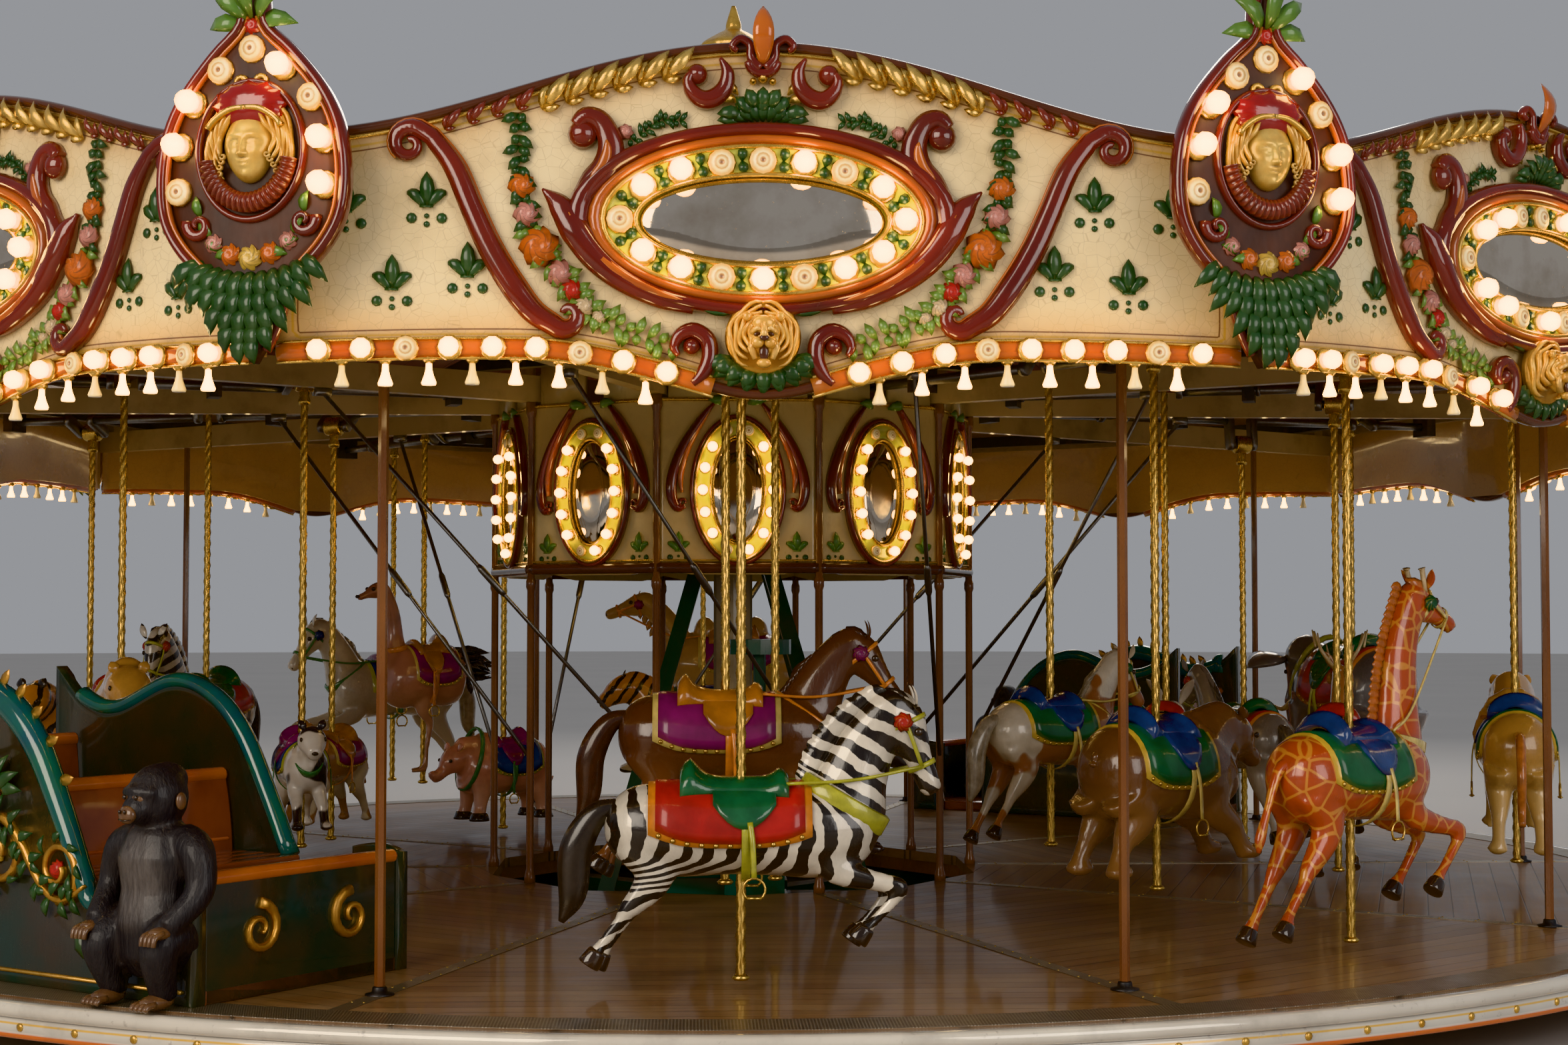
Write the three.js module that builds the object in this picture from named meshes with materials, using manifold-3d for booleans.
// Menagerie carousel with ten sections and three rows of jumping animals.
// Millimetres, +Z up, origin on the ground under the centre pole.
// Section 0 faces -Y. The turntable runs counter-clockwise seen from above.
import * as THREE from 'three';
import { mergeVertices } from 'three/addons/utils/BufferGeometryUtils.js';
import Module from 'manifold-3d';

const wasm = await Module();
wasm.setup();

// Layout
const SECTIONS = 10;
const STEP = (2 * Math.PI) / SECTIONS;
const HALF_STEP = STEP / 2;
const CHARIOT_SECTIONS = [4, 9];
const GAP = 0.3;

// Heights above the ground
const SILL_TOP = 140;
const BEAM_BOTTOM = 160;
const DECK_BOTTOM = 235;
const DECK_TOP = 290;
const SWEEP_BOTTOM = 2850;
const SWEEP_TOP = 2990;
const CRANK_Z = 2920;
const EAVE_Z = 3300;
const ROOF_TOP = 4650;
const FINIAL_TOP = 5230;

// Radii and apothems
const POLE_R = 110;
const WELL_CORNER_R = 1390;
const DECK_OUTER_R = 5110;
const SKIRT_R = 5200;
const ROD_ROW_R = 4550;
const SWEEP_END_R = 5400;
const RIM_APOTHEM = 5100;
const BOARD_BACK = 5160;
const BOARD_THICK = 45;
const EAVE_R = 5394;
const SHIELD_BACK_R = 5512;
const DRUM_APOTHEM = 1280;
const DRUM_PANEL = 30;
const POST_ROW_R = 1352;

// Base and drive
const SILL_COUNT = 8;
const SILL_WIDTH = 140;
const SILL_END_R = 4300;
const SOCKET = { radius: 330, top: 220 };
const COLLAR = { radius: 210, bottom: 2240, top: 2400 };
const POLE_TOP = 4450;
const POLE_FIT = 0.4;
const DRIVE = { x: 130, y: -700, motorZ: 420, motorR: 130, wheelR: 170, wheelZ: 1500, wheelThick: 80 };
const BED_TOP = SILL_TOP + 81;

// Overhead frame and roof
const BEAM_HALF = 40;
const HUB = { flangeR: 300, tubeR: 170, tubeTop: 4550 };
const CRANK_RING_HALF = 32;
const CRANK_RING_TOP = SWEEP_TOP + 80;
const BLOCK_DEPTH = 62;
const ROOF = { thick: 40, topR: 300, ribHalf: 30, ribDeep: 110, ribEndR: 5270, ribFoot: 90 };

// Platform, drum and carvings
const ROD_R = 20;
const JOIST_HALF = 35;
const SKIRT_EDGE = 18;
const DRUM_LOW = 1920;
const DRUM_HIGH = 3050;
const DRUM_OVAL = { z: 2440, halfWidth: 245, halfHeight: 380, rise: 30 };
const POST_R = 22;
const BRACE = { r: 14, low: 950, outR: 2580 };
const BOARD_OVAL = { z: 3070, halfWidth: 650, halfHeight: 337, rise: 45 };
const BOARD_WELL = { z: 3065, halfWidth: 555, halfHeight: 260, floor: 10 };
const SHIELD_OVAL = { z: 3275, halfWidth: 175, halfHeight: 215 };
const SHIELD_THICK = 40;

// Jumping gear
const ROWS = { outer: 4250, middle: 3350, inner: 2450 };
const ROW_SCALE = { outer: 1, middle: 0.92, inner: 0.8 };
const THROW = 150;
const JOURNAL_R = 26;
const PIN_R = 22;
const PIN_HALF = 60;
const PIN_SIDES = 6;
const WEB = 40;
const WEB_WIDTH = 70;
const CRANK_INNER_R = 560;
const CRANK_OUTER_R = 4790;
const PINION_R = 135;
const PINION_ROW_R = 590;
const PINION_FACE = 80;
const RING_GEAR_R = 700;
const RING_GEAR_CLEARANCE = 6;
const HANGER_R = 56;
const HANGER_HALF = 50;
const POLE_BAR_R = 21;
const POLE_DROP = CRANK_Z - THROW - DECK_TOP - 25;
const CRANK_RINGS = { inner: 1620, middle: 2900, outer: 4720 };

// Geometry helpers

function merged(geometry) {
  const bare = geometry.index ? geometry.toNonIndexed() : geometry.clone();
  for (const name of Object.keys(bare.attributes)) {
    if (name !== 'position') bare.deleteAttribute(name);
  }
  return mergeVertices(bare, 1e-3);
}

function signedVolume(points, index) {
  const a = new THREE.Vector3();
  const b = new THREE.Vector3();
  const c = new THREE.Vector3();
  let sum = 0;
  for (let i = 0; i < index.length; i += 3) {
    a.fromArray(points, 3 * index[i]);
    b.fromArray(points, 3 * index[i + 1]);
    c.fromArray(points, 3 * index[i + 2]);
    sum += a.dot(b.cross(c)) / 6;
  }
  return sum;
}

function solid(geometry) {
  const closed = merged(geometry);
  const points = Float32Array.from(closed.attributes.position.array);
  const index = [];
  const source = closed.index.array;
  for (let i = 0; i < source.length; i += 3) {
    const [p, q, r] = [source[i], source[i + 1], source[i + 2]];
    if (p !== q && q !== r && r !== p) index.push(p, q, r);
  }
  if (signedVolume(points, index) < 0) index.reverse();
  const mesh = { numProp: 3, vertProperties: points, triVerts: Uint32Array.from(index) };
  return new wasm.Manifold(new wasm.Mesh(mesh));
}

function fuse(geometries) {
  let whole = solid(geometries[0]);
  for (const next of geometries.slice(1)) whole = whole.add(solid(next));
  return geometryOf(whole);
}

function cut(geometry, tools) {
  let left = solid(geometry);
  for (const tool of tools) left = left.subtract(solid(tool));
  return geometryOf(left);
}

function geometryOf(manifold) {
  const mesh = manifold.getMesh();
  const geometry = new THREE.BufferGeometry();
  geometry.setAttribute('position', new THREE.BufferAttribute(mesh.vertProperties, 3));
  geometry.setIndex(new THREE.BufferAttribute(mesh.triVerts, 1));
  return geometry;
}

// A box between two corners.
function block(x0, x1, y0, y1, z0, z1) {
  const box = new THREE.BoxGeometry(x1 - x0, y1 - y0, z1 - z0);
  return box.translate((x0 + x1) / 2, (y0 + y1) / 2, (z0 + z1) / 2);
}

// An upright prism with its corners starting at the angle turn from -Y.
function upright(radius, z0, z1, sides, turn = 0, topRadius = radius) {
  const prism = new THREE.CylinderGeometry(topRadius, radius, z1 - z0, sides, 1, false, turn);
  return prism.rotateX(Math.PI / 2).translate(0, 0, (z0 + z1) / 2);
}

// A prism from one point to another, tapering from radius to endRadius.
function bar(from, to, radius, sides, endRadius = radius) {
  const start = new THREE.Vector3(...from);
  const end = new THREE.Vector3(...to);
  const along = end.clone().sub(start);
  const prism = new THREE.CylinderGeometry(endRadius, radius, along.length(), sides);
  const turn = new THREE.Quaternion().setFromUnitVectors(
    new THREE.Vector3(0, 1, 0),
    along.clone().normalize(),
  );
  const middle = start.add(end).multiplyScalar(0.5);
  return prism.applyQuaternion(turn).translate(middle.x, middle.y, middle.z);
}

// An outline of [x, z] points that stands between two distances in front of the centre.
function plate(outline, back, front) {
  const shape = new THREE.Shape(outline.map(([x, z]) => new THREE.Vector2(x, z)));
  const slab = new THREE.ExtrudeGeometry(shape, { depth: front - back, bevelEnabled: false });
  return slab.rotateX(Math.PI / 2).translate(0, -back, 0);
}

// An outline of [x, y] points that lies between two heights.
function slab(outline, z0, z1) {
  const shape = new THREE.Shape(outline.map(([x, y]) => new THREE.Vector2(x, y)));
  return new THREE.ExtrudeGeometry(shape, { depth: z1 - z0, bevelEnabled: false }).translate(0, 0, z0);
}

function ellipse(cx, cz, halfWidth, halfHeight, count) {
  const points = [];
  for (let i = 0; i < count; i += 1) {
    const a = (2 * Math.PI * i) / count;
    points.push([cx + halfWidth * Math.cos(a), cz + halfHeight * Math.sin(a)]);
  }
  return points;
}

// A ring of flat-sided beams between two apothems.
function polygonRing(inner, outer, z0, z1, sides, turn) {
  const flat = Math.cos(Math.PI / sides);
  const body = upright(outer / flat, z0, z1, sides, turn);
  return cut(body, [upright(inner / flat, z0 - 1, z1 + 1, sides, turn)]);
}

// The space for a round fit on a pin along Y: its flats lie a running gap off the pin's corners.
function boreAlongY(pinR, halfLength) {
  const radius = (pinR + GAP) / Math.cos(Math.PI / PIN_SIDES);
  return bar([0, -halfLength, 0], [0, halfLength, 0], radius, PIN_SIDES).rotateY(Math.PI / PIN_SIDES);
}

function turned(geometry, angle) {
  return geometry.clone().rotateZ(angle);
}

function around(geometry, angles) {
  return angles.map((angle) => turned(geometry, angle));
}

function sectionAngles() {
  return Array.from({ length: SECTIONS }, (_, i) => i * STEP);
}

function cornerAngles() {
  return sectionAngles().map((angle) => angle + HALF_STEP);
}

// Fixed base

function baseFrame() {
  const bore = upright(POLE_R + POLE_FIT, -1, COLLAR.top + 1, 12);
  const sill = block(-SILL_WIDTH / 2, SILL_WIDTH / 2, -SILL_END_R, -140, 0, SILL_TOP);
  const strut = bar([0, -1050, 60], [0, -150, (COLLAR.bottom + COLLAR.top) / 2], 60, 4);
  const socket = upright(SOCKET.radius, 0, SOCKET.top, SILL_COUNT, Math.PI / SILL_COUNT);
  const parts = [socket, upright(COLLAR.radius, COLLAR.bottom, COLLAR.top, 12)];
  for (let i = 0; i < SILL_COUNT; i += 1) {
    const angle = (2 * Math.PI * i) / SILL_COUNT;
    parts.push(turned(sill, angle));
    if (i % 2 === 1) parts.push(turned(strut, angle));
  }
  return cut(fuse(parts), [bore]);
}

function centrePole() {
  return upright(POLE_R, 0, POLE_TOP, 12);
}

function ringGear() {
  const top = CRANK_Z - PINION_R - RING_GEAR_CLEARANCE;
  const rimInner = RING_GEAR_R - 140;
  const rim = cut(upright(RING_GEAR_R, top - 80, top, 24), [upright(rimInner, top - 90, top + 1, 24)]);
  const spoke = block(-35, 35, -(rimInner + 40), -140, top - 70, top - 15);
  const sleeve = upright(185, COLLAR.top + GAP, top, 12);
  const parts = [rim, sleeve, ...around(spoke, [0, 1, 2, 3].map((i) => (i * Math.PI) / 2))];
  return cut(fuse(parts), [upright(POLE_R + POLE_FIT, COLLAR.top, top + 1, 12)]);
}

function driveUnit() {
  const { x, y, motorZ, motorR, wheelR, wheelZ, wheelThick } = DRIVE;
  const motor = bar([x - 560, y, motorZ], [x - 160, y, motorZ], motorR, 12);
  const gearbox = block(x - 190, x + 130, y - 130, y + 130, BED_TOP - 1, motorZ + 140);
  const shaft = upright(34, motorZ, wheelZ, 8).translate(x, y, 0);
  const wheel = upright(wheelR, wheelZ, wheelZ + wheelThick, 16).translate(x, y, 0);
  const bed = block(x - 590, x + 150, y - 150, y + 150, SILL_TOP + GAP, BED_TOP);
  const foot = block(x - 590, x - 160, y - 60, y + 60, BED_TOP - 1, motorZ - 20);
  return fuse([bed, gearbox, motor, foot, shaft, wheel]);
}

// Rotating frame

function sweeps() {
  const beam = block(-BEAM_HALF, BEAM_HALF, -SWEEP_END_R, -POLE_R - 20, SWEEP_BOTTOM, SWEEP_TOP);
  const flange = upright(HUB.flangeR, SWEEP_BOTTOM, SWEEP_TOP, SECTIONS, HALF_STEP);
  const tube = upright(HUB.tubeR, SWEEP_BOTTOM, HUB.tubeTop, 12);
  const boreR = (POLE_R + GAP) / Math.cos(Math.PI / 12);
  const bore = upright(boreR, SWEEP_BOTTOM - 1, POLE_TOP + GAP, 12, Math.PI / 12);
  return cut(fuse([flange, tube, ...around(beam, cornerAngles())]), [bore]);
}

// A ring on top of the sweeps with a hanging bearing block for each crankshaft.
function crankRing(apothem) {
  const [inner, outer] = [apothem - CRANK_RING_HALF, apothem + CRANK_RING_HALF];
  const ring = polygonRing(inner, outer, SWEEP_TOP + GAP, CRANK_RING_TOP, SECTIONS, HALF_STEP);
  const hanger = block(-75, 75, -outer, -inner, CRANK_Z - BLOCK_DEPTH, SWEEP_TOP + 10);
  const bore = boreAlongY(JOURNAL_R, 60).translate(0, -apothem, CRANK_Z);
  const angles = jumperSections().map((i) => i * STEP);
  return cut(fuse([ring, ...around(hanger, angles)]), around(bore, angles));
}

function roof() {
  const { thick, topR, ribHalf, ribDeep, ribEndR: outer, ribFoot } = ROOF;
  const shell = cut(upright(EAVE_R, EAVE_Z, ROOF_TOP, SECTIONS, HALF_STEP, topR), [
    upright(EAVE_R, EAVE_Z - thick, ROOF_TOP - thick, SECTIONS, HALF_STEP, topR),
  ]);
  const slope = (ROOF_TOP - EAVE_Z) / (EAVE_R - topR);
  const ribTop = (r) => ROOF_TOP - thick / 2 - slope * (r - topR);
  const [inner, foot] = [topR + 20, outer - ribFoot];
  const side = [
    [inner, ribTop(inner)],
    [outer, ribTop(outer)],
    [outer, SWEEP_TOP + GAP],
    [foot, SWEEP_TOP + GAP],
    [foot, ribTop(foot) - ribDeep],
    [inner, ribTop(inner) - ribDeep],
  ];
  const rib = plate(side, -ribHalf, ribHalf).rotateZ(-Math.PI / 2);
  return fuse([shell, ...around(rib, cornerAngles())]);
}

function finial() {
  const foot = ROOF_TOP + GAP;
  const profile = [
    [0, foot], [290, foot], [290, foot + 60], [120, foot + 110], [90, foot + 190],
    [190, foot + 270], [190, foot + 340], [70, foot + 420], [40, foot + 470], [0, FINIAL_TOP],
  ];
  const points = profile.map(([r, z]) => new THREE.Vector2(r, z));
  return new THREE.LatheGeometry(points, 12).rotateX(Math.PI / 2);
}

// Platform

function circle(radius, count, turn) {
  return Array.from({ length: count }, (_, i) => {
    const a = turn + (2 * Math.PI * i) / count;
    return [radius * Math.sin(a), -radius * Math.cos(a)];
  });
}

function deck() {
  const board = slab(circle(DECK_OUTER_R, 30, 0), DECK_BOTTOM + GAP, DECK_TOP);
  const well = upright(WELL_CORNER_R, DECK_BOTTOM - 5, DECK_TOP + 5, SECTIONS);
  const hole = upright(ROD_R + 0.6, DECK_BOTTOM - 5, DECK_TOP + 5, 6).translate(0, -ROD_ROW_R, 0);
  return cut(board, [well, ...around(hole, cornerAngles())]);
}

function skirt() {
  const inner = DECK_OUTER_R + 0.4;
  const bottom = BEAM_BOTTOM - 10;
  const outline = [
    [inner, bottom], [SKIRT_R - SKIRT_EDGE, bottom], [SKIRT_R, bottom + 30],
    [SKIRT_R, DECK_TOP - 22], [SKIRT_R - SKIRT_EDGE, DECK_TOP], [inner, DECK_TOP],
  ];
  const points = [...outline, outline[0]].map(([r, z]) => new THREE.Vector2(r, z));
  return new THREE.LatheGeometry(points, 30).rotateX(Math.PI / 2);
}

function platformFrame() {
  const [inner, outer] = [WELL_CORNER_R * Math.cos(HALF_STEP) + 20, DECK_OUTER_R - 30];
  const beam = block(-JOIST_HALF, JOIST_HALF, -outer, -inner, BEAM_BOTTOM, DECK_BOTTOM);
  const ringEnd = inner + 2 * JOIST_HALF;
  const ring = polygonRing(inner, ringEnd, BEAM_BOTTOM, DECK_BOTTOM, SECTIONS, 0);
  const rod = upright(ROD_R, DECK_BOTTOM - 20, SWEEP_BOTTOM - GAP, 6).translate(0, -ROD_ROW_R, 0);
  return fuse([ring, ...around(beam, cornerAngles()), ...around(rod, cornerAngles())]);
}

// Centre drum with its corner posts and sway braces

function drumPanel() {
  const half = DRUM_APOTHEM * Math.tan(HALF_STEP) - 2;
  const neck = half - 52;
  const notch = 62;
  const shoulder = SWEEP_BOTTOM - 20;
  const outline = [
    [-half, DRUM_LOW + 40], [-half * 0.55, DRUM_LOW], [half * 0.55, DRUM_LOW], [half, DRUM_LOW + 40],
    [half, shoulder], [neck, shoulder], [neck, DRUM_HIGH],
    [notch, DRUM_HIGH], [notch, CRANK_Z - BLOCK_DEPTH],
    [-notch, CRANK_Z - BLOCK_DEPTH], [-notch, DRUM_HIGH],
    [-neck, DRUM_HIGH], [-neck, shoulder], [-half, shoulder],
  ];
  const board = plate(outline, DRUM_APOTHEM - DRUM_PANEL, DRUM_APOTHEM);
  const oval = ellipse(0, DRUM_OVAL.z, DRUM_OVAL.halfWidth, DRUM_OVAL.halfHeight, 10);
  const frame = plate(oval, DRUM_APOTHEM - 5, DRUM_APOTHEM + DRUM_OVAL.rise);
  return [board, frame];
}

function drum() {
  const [sine, cosine] = [Math.sin(HALF_STEP), Math.cos(HALF_STEP)];
  const post = upright(POST_R, DECK_TOP + GAP, SWEEP_BOTTOM - GAP, 6).translate(0, -POST_ROW_R, 0);
  const low = [POST_ROW_R * sine, -POST_ROW_R * cosine, BRACE.low];
  const high = [-BRACE.outR * sine, -BRACE.outR * cosine, SWEEP_BOTTOM - 24];
  const brace = bar(low, high, BRACE.r, 4);
  const lug = block(-20, 20, -BRACE.outR - 40, -BRACE.outR + 40, SWEEP_BOTTOM - 40, SWEEP_BOTTOM - GAP);
  const panels = drumPanel().flatMap((piece) => around(piece, sectionAngles()));
  const rods = [...around(post, cornerAngles()), ...around(brace, sectionAngles())];
  return fuse([...panels, ...rods, ...around(lug, cornerAngles())]);
}

// Rounding boards and corner shields

const BOARD_HALF = 1655;
const BOARD_CORNER_Z = 3350;
const BOARD_CREST_Z = 3670;

function boardTop(x) {
  const t = Math.cos((Math.PI * x) / (2 * BOARD_HALF));
  return BOARD_CORNER_Z + (BOARD_CREST_Z - BOARD_CORNER_Z) * t * t;
}

function boardBottom(x) {
  const t = Math.min(1, Math.max(0, (Math.abs(x) - 170) / 680));
  const arch = 2485 + 130 * Math.sin((Math.PI * t) / 2);
  const sag = Math.max(0, (Math.abs(x) - 850) / (BOARD_HALF - 850));
  return arch - 20 * sag * sag;
}

function boardOutline() {
  const lower = [-1, -0.5, -0.36, -0.22, -0.1, 0.1, 0.22, 0.36, 0.5, 1];
  const upper = [1, 0.75, 0.5, 0.25, 0, -0.25, -0.5, -0.75, -1];
  return [
    ...lower.map((t) => [t * BOARD_HALF, boardBottom(t * BOARD_HALF)]),
    ...upper.map((t) => [t * BOARD_HALF, boardTop(t * BOARD_HALF)]),
  ];
}

// A long S scroll as a band around a centre line, on the side given by sign.
function scroll(sign) {
  const line = [[-1190, 3290], [-980, 3220], [-860, 3000], [-800, 2800], [-640, 2700]];
  const width = [80, 45, 40, 38, 30];
  const left = line.map(([x, z], i) => [sign * (x - width[i] * 0.7), z - width[i] * 0.4]);
  const right = line.map(([x, z], i) => [sign * (x + width[i] * 0.7), z + width[i] * 0.4]);
  return [...left, ...right.reverse()];
}

function board() {
  const face = BOARD_BACK + BOARD_THICK;
  const base = plate(boardOutline(), BOARD_BACK, face);
  const oval = ellipse(0, BOARD_OVAL.z, BOARD_OVAL.halfWidth, BOARD_OVAL.halfHeight, 14);
  const ring = plate(oval, face - 5, face + BOARD_OVAL.rise);
  const hollow = ellipse(0, BOARD_WELL.z, BOARD_WELL.halfWidth, BOARD_WELL.halfHeight, 14);
  const well = plate(hollow, face + BOARD_WELL.floor, face + 2 * BOARD_OVAL.rise);
  const fan = [[-130, 3600], [130, 3600], [60, 3700], [0, 3775], [-60, 3700]];
  const crest = plate(fan, face - 30, face + 30);
  const head = new THREE.IcosahedronGeometry(1, 0).scale(135, 80, 150).translate(0, -face - 20, 2640);
  const scrolls = [scroll(1), scroll(-1)].map((outline) => plate(outline, face - 5, face + 35));
  return fuse([base, cut(ring, [well]), crest, head, ...scrolls]);
}

function shieldOutline() {
  const half = [
    [0, 2560], [85, 2700], [120, 2840], [290, 3060], [340, 3260],
    [300, 3470], [80, 3715], [75, 3820], [0, 3930],
  ];
  const mirrored = half.slice(1, -1).reverse().map(([x, z]) => [-x, z]);
  return [...half, ...mirrored];
}

function shield() {
  const front = SHIELD_BACK_R + SHIELD_THICK;
  const back = plate(shieldOutline(), SHIELD_BACK_R, front);
  const oval = ellipse(0, SHIELD_OVAL.z, SHIELD_OVAL.halfWidth, SHIELD_OVAL.halfHeight, 10);
  const face = plate(oval, front - 5, front + 30);
  const mask = new THREE.OctahedronGeometry(1, 0).scale(105, 60, 140);
  const head = mask.translate(0, -front - 30, SHIELD_OVAL.z + 15);
  const bracket = block(-12, 12, -SHIELD_BACK_R - 10, -SWEEP_END_R + 10, 3020, 3080);
  return [back, face, head, bracket];
}

function cornerShields() {
  const outer = BOARD_BACK - GAP;
  const ring = polygonRing(RIM_APOTHEM, outer, SWEEP_TOP + GAP, SWEEP_TOP + 100, SECTIONS, HALF_STEP);
  return fuse([ring, ...shield().flatMap((piece) => around(piece, cornerAngles()))]);
}

// Chariots

const CHARIOT = { rear: -1050, front: 1050, outer: -4920, inner: -3800, wall: 60, dashTop: 470 };
const SEAT = { deep: 420, back: 80, top: 430 };
const BENCHES = [{ x: 100, backTop: 780 }, { x: -860, backTop: 900 }];
const DOORWAY = { from: 470, to: 800 };

// The side seen from outside: low at the front, then a long curve up to the rear scroll.
function chariotSide() {
  const curve = [
    [640, 430], [520, 330], [430, 400], [300, 640], [130, 920],
    [-60, 1080], [-300, 1130], [-640, 1010], [-860, 1040],
  ];
  const { rear, front, dashTop } = CHARIOT;
  return [[rear, 0], [front, 0], [front, dashTop], [900, 500], ...curve, [rear, 1190]];
}

function bench({ x, backTop }, y0, y1) {
  return [
    block(x - 10, x + SEAT.deep, y0, y1, 50, SEAT.top),
    block(x - SEAT.back, x, y0, y1, 50, backTop),
  ];
}

// A carved ape that stands with bent legs against the outer side, its arms along the rail.
function ape() {
  const trunk = bar([0, 0, 150], [0, 0, 640], 165, 6, 150);
  const head = new THREE.IcosahedronGeometry(1, 0).scale(125, 130, 150).translate(10, -20, 745);
  const limbs = [-1, 1].flatMap((side) => [
    bar([side * 130, 0, 600], [side * 190, -60, 330], 62, 5, 50),
    bar([side * 100, -20, 260], [side * 120, -60, 16], 85, 5, 70),
  ]);
  return [trunk, head, ...limbs];
}

function chariot() {
  const { rear, front, outer, inner, wall, dashTop } = CHARIOT;
  const side = chariotSide();
  const doorway = block(DOORWAY.from, DOORWAY.to, inner - 100, inner + 100, 60, 1300);
  const innerWall = cut(plate(side, -inner, -inner + wall), [doorway]);
  const [y0, y1] = [outer + 20, inner - 20];
  const base = block(rear + 20, front - 20, y0, y1, 0, 60);
  const dash = block(front - wall, front, y0, y1, 0, dashTop);
  const parts = [plate(side, -outer - wall, -outer), innerWall, base, dash];
  for (const place of BENCHES) parts.push(...bench(place, y0, y1));
  parts.push(...ape().map((piece) => piece.translate(850, outer + 10, 0)));
  return fuse(parts).translate(0, 0, DECK_TOP + GAP);
}

// Crankshafts

function jumperSections() {
  return Array.from({ length: SECTIONS }, (_, i) => i).filter((i) => !CHARIOT_SECTIONS.includes(i));
}

const PHASE = { outer: 200, middle: 320, inner: 80 };
const PHASE_STEP = 315;

function phase(section, row) {
  return ((PHASE[row] + PHASE_STEP * section) * Math.PI) / 180;
}

// The crank pin's centre in the section's own frame.
function pinAt(section, row) {
  const a = phase(section, row);
  return [THROW * Math.sin(a), -ROWS[row], CRANK_Z + THROW * Math.cos(a)];
}

function crankshaft(section) {
  const parts = [];
  const stops = [CRANK_INNER_R];
  for (const row of ['inner', 'middle', 'outer']) {
    const [x, y, z] = pinAt(section, row);
    const out = PIN_HALF + WEB;
    stops.push(ROWS[row] - out, ROWS[row] + out);
    parts.push(bar([x, y - PIN_HALF - 5, z], [x, y + PIN_HALF + 5, z], PIN_R, PIN_SIDES));
    for (const side of [-1, 1]) {
      parts.push(crankWeb(phase(section, row), y + side * (PIN_HALF + WEB / 2)));
    }
  }
  stops.push(CRANK_OUTER_R);
  for (let i = 0; i < stops.length; i += 2) {
    const inset = 5;
    const from = [0, -stops[i] + (i > 0 ? inset : 0), CRANK_Z];
    const to = [0, -stops[i + 1] - (i < stops.length - 2 ? inset : 0), CRANK_Z];
    parts.push(bar(from, to, JOURNAL_R, PIN_SIDES));
  }
  const pinion = [[0, -PINION_ROW_R, CRANK_Z], [0, -PINION_ROW_R - PINION_FACE, CRANK_Z]];
  parts.push(bar(pinion[0], pinion[1], PINION_R, 12));
  return fuse(parts);
}

// A flat arm from the shaft to the pin, square to the shaft at distance y.
function crankWeb(angle, y) {
  const arm = block(-WEB_WIDTH / 2, WEB_WIDTH / 2, -WEB / 2, WEB / 2, -38, THROW + 36);
  return arm.rotateY(angle).translate(0, y, CRANK_Z);
}

// Jumping animals. Sizes are body length, body radius, leg, neck length, neck rise in degrees,
// neck radius, head length, head radius, head drop in degrees and tail length.
const SPECIES = {
  zebra: [1040, 178, 400, 460, 60, 100, 330, 88, 66, 420],
  giraffe: [900, 190, 520, 720, 78, 85, 280, 76, 24, 380],
  lion: [960, 200, 420, 260, 42, 190, 270, 130, 24, 500],
  elephant: [940, 290, 460, 200, 30, 170, 330, 165, 62, 300],
  camel: [960, 220, 540, 520, 52, 85, 290, 82, 18, 360],
  tiger: [980, 190, 420, 270, 34, 130, 260, 115, 24, 520],
  deer: [900, 175, 520, 420, 58, 72, 250, 70, 34, 120],
  horse: [980, 200, 480, 440, 56, 95, 330, 88, 52, 460],
  bear: [880, 235, 370, 230, 30, 165, 270, 120, 28, 60],
  goat: [820, 185, 440, 300, 52, 85, 250, 75, 40, 120],
  pig: [780, 225, 290, 140, 15, 150, 280, 110, 32, 130],
  panther: [940, 175, 410, 260, 30, 110, 250, 100, 24, 520],
  dog: [820, 170, 400, 260, 48, 95, 270, 88, 24, 320],
  rabbit: [720, 195, 310, 170, 50, 100, 210, 100, 30, 90],
  cat: [740, 165, 350, 210, 46, 80, 190, 95, 24, 420],
  ostrich: [640, 225, 590, 600, 78, 50, 200, 60, 14, 240],
};

// How the front and hind legs bend: knee and foot as shares of the leg, from where it leaves the body.
const LEAPING = { front: [[0.68, -0.32], [0.3, -0.74]], hind: [[-0.16, -0.56], [-0.46, -0.97]] };
const STALKING = { front: [[0.4, -0.46], [0.62, -0.84]], hind: [[-0.1, -0.54], [-0.3, -0.98]] };
const STANDING = { front: [[0.08, -0.5], [0.16, -1]], hind: [[-0.04, -0.5], [-0.1, -1]] };
const STALKERS = ['lion', 'tiger', 'panther', 'cat', 'bear', 'dog', 'rabbit'];
const STANDERS = ['elephant', 'ostrich', 'pig'];

const RIDES = {
  0: ['zebra', 'horse', 'panther'],
  1: ['giraffe', 'bear', 'horse'],
  2: ['lion', 'deer', 'rabbit'],
  3: ['elephant', 'horse', 'cat'],
  5: ['camel', 'tiger', 'goat'],
  6: ['horse', 'ostrich', 'pig'],
  7: ['tiger', 'zebra', 'dog'],
  8: ['deer', 'lion', 'cat'],
};

function torso(length, radius) {
  const profile = [[0, -0.5], [0.88, -0.36], [1, 0.24], [0, 0.5]];
  const points = profile.map(([r, t]) => new THREE.Vector2(r * radius, t * length));
  return new THREE.LatheGeometry(points, 6).rotateZ(-Math.PI / 2);
}

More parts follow.
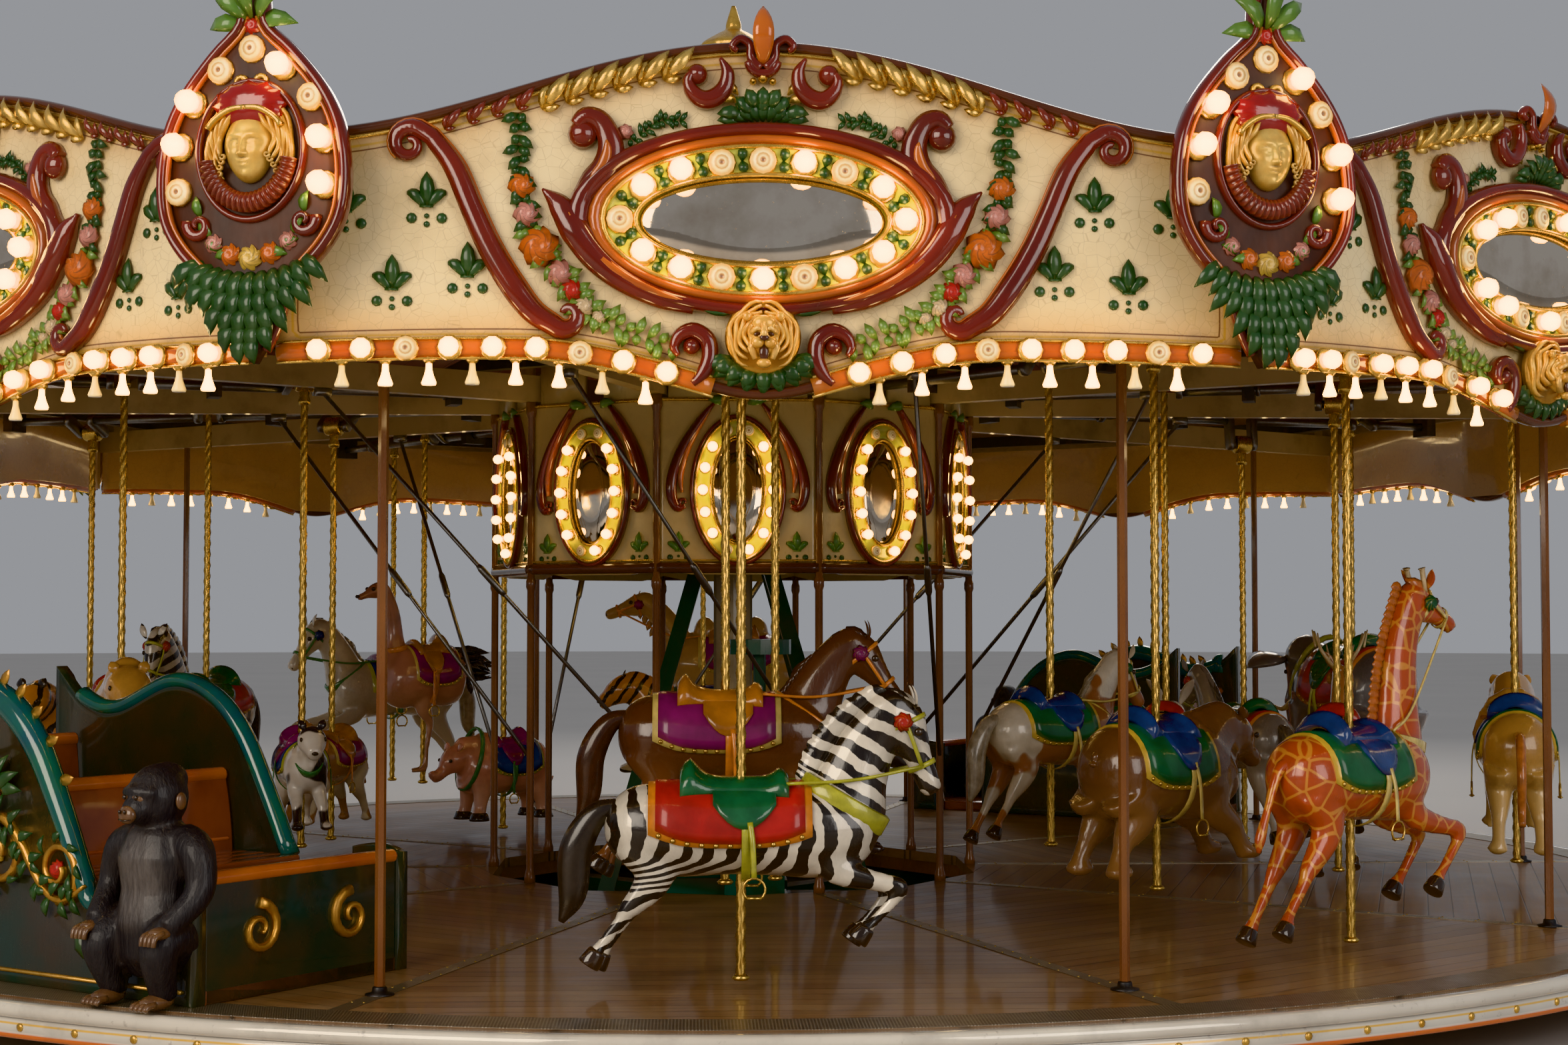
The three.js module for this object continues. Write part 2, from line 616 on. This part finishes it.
// A pair of legs seen from the side, bent at the knee, as one flat outline that stands on both sides.
function legs(x, spread, top, length, [kneeAt, footAt]) {
  const knee = [x + kneeAt[0] * length, top + kneeAt[1] * length];
  const foot = [x + footAt[0] * length, top + footAt[1] * length];
  const outline = [
    [x - 0.14 * length, top + 40], [x + 0.14 * length, top + 40], [knee[0] + 46, knee[1]],
    [foot[0] + 50, foot[1]], [foot[0] - 38, foot[1]], [knee[0] - 42, knee[1] - 24],
  ];
  return [-1, 1].map((side) => plate(outline, side * spread - 42, side * spread + 42));
}

function headAndNeck(size) {
  const [length, radius, , neck, rise, neckR, head, headR, drop] = size;
  const [up, down] = [rise, drop].map((degrees) => (degrees * Math.PI) / 180);
  const root = [length * 0.36, 0, radius * 0.25];
  const poll = [root[0] + neck * Math.cos(up), 0, root[2] + neck * Math.sin(up)];
  const nose = [poll[0] + head * Math.cos(down), 0, poll[2] - head * Math.sin(down)];
  const crown = [poll[0] - 0.15 * head * Math.cos(down), 0, poll[2] + 0.15 * head * Math.sin(down)];
  return [bar(root, poll, neckR * 1.45, 5, neckR * 0.95), bar(crown, nose, headR, 5, headR * 0.5)];
}

function stance(species) {
  if (STALKERS.includes(species)) return STALKING;
  return STANDERS.includes(species) ? STANDING : LEAPING;
}

function animal(size, { front, hind }) {
  const [length, radius, legLength, , , , , , , tail] = size;
  const spread = radius * 0.55;
  const top = -radius * 0.45;
  const parts = [torso(length, radius), ...headAndNeck(size)];
  parts.push(...legs(length * 0.32, spread, top, legLength, front));
  parts.push(...legs(-length * 0.36, spread, top, legLength, hind));
  const rump = [-length * 0.44, 0, radius * 0.3];
  parts.push(bar(rump, [rump[0] - tail * 0.42, 0, rump[2] - tail * 0.9], 38, 3, 18));
  return parts;
}

function jumper(section, row) {
  const species = RIDES[section][Object.keys(ROWS).indexOf(row)];
  const angles = [4, 8];
  const size = SPECIES[species].map((value, i) => (angles.includes(i) ? value : value * ROW_SCALE[row]));
  const [x, y, z] = pinAt(section, row);
  const foot = z - POLE_DROP;
  const saddle = foot + 90 + size[2] + size[1] * 0.45;
  const eye = bar([0, -HANGER_HALF, 0], [0, HANGER_HALF, 0], HANGER_R, PIN_SIDES);
  const ring = cut(eye, [boreAlongY(PIN_R, 90)]).translate(0, 0, z);
  const pole = upright(POLE_BAR_R, foot, z - HANGER_R * 0.7, 4);
  const body = animal(size, stance(species)).map((piece) => piece.translate(0, 0, saddle));
  return fuse([ring, pole, ...body]).translate(x, y, 0);
}

// Assembly

const object = new THREE.Group();

function add(name, geometry, color, roughness, metalness, turn = 0) {
  const material = new THREE.MeshStandardMaterial({ color, roughness, metalness });
  const mesh = new THREE.Mesh(geometry, material);
  mesh.name = name;
  mesh.rotation.z = turn;
  object.add(mesh);
}

add('base_frame', baseFrame(), 0x2d3a33, 0.6, 0.4);
add('centre_pole', centrePole(), 0xb9b4a6, 0.45, 0.3);
add('ring_gear', ringGear(), 0x3a3b3d, 0.4, 0.9);
add('drive_unit', driveUnit(), 0x2f5d50, 0.4, 0.5);
add('sweeps', sweeps(), 0xcfc6ae, 0.5, 0.1);
for (const [name, apothem] of Object.entries(CRANK_RINGS)) {
  add(`crank_ring_${name}`, crankRing(apothem), 0x8c8a84, 0.45, 0.6);
}
add('roof_shell', roof(), 0x5c1620, 0.5, 0.0);
add('crown_finial', finial(), 0xc79a3a, 0.3, 0.8);
add('platform_deck', deck(), 0x8a6a4c, 0.5, 0.1);
add('platform_skirt', skirt(), 0xd8d3c8, 0.2, 0.1);
add('platform_frame', platformFrame(), 0x4a4a48, 0.5, 0.7);
add('centre_drum', drum(), 0xe8dcc0, 0.4, 0.0);
add('corner_shields', cornerShields(), 0x8d2f1c, 0.3, 0.1);

const twoDigits = (i) => String(i + 1).padStart(2, '0');

for (let i = 0; i < SECTIONS; i += 1) {
  add(`rounding_board_${twoDigits(i)}`, board(), 0xeee0c0, 0.4, 0.0, i * STEP);
}

for (const i of CHARIOT_SECTIONS) {
  add(`chariot_${twoDigits(i)}`, chariot(), 0x7d2a1c, 0.3, 0.1, i * STEP);
}

for (const i of jumperSections()) {
  add(`crankshaft_${twoDigits(i)}`, crankshaft(i), 0x55565a, 0.35, 0.9, i * STEP);
  for (const row of Object.keys(ROWS)) {
    const species = RIDES[i][Object.keys(ROWS).indexOf(row)];
    add(`${species}_${row}_${twoDigits(i)}`, jumper(i, row), 0xb88a5a, 0.3, 0.1, i * STEP);
  }
}

export default object;
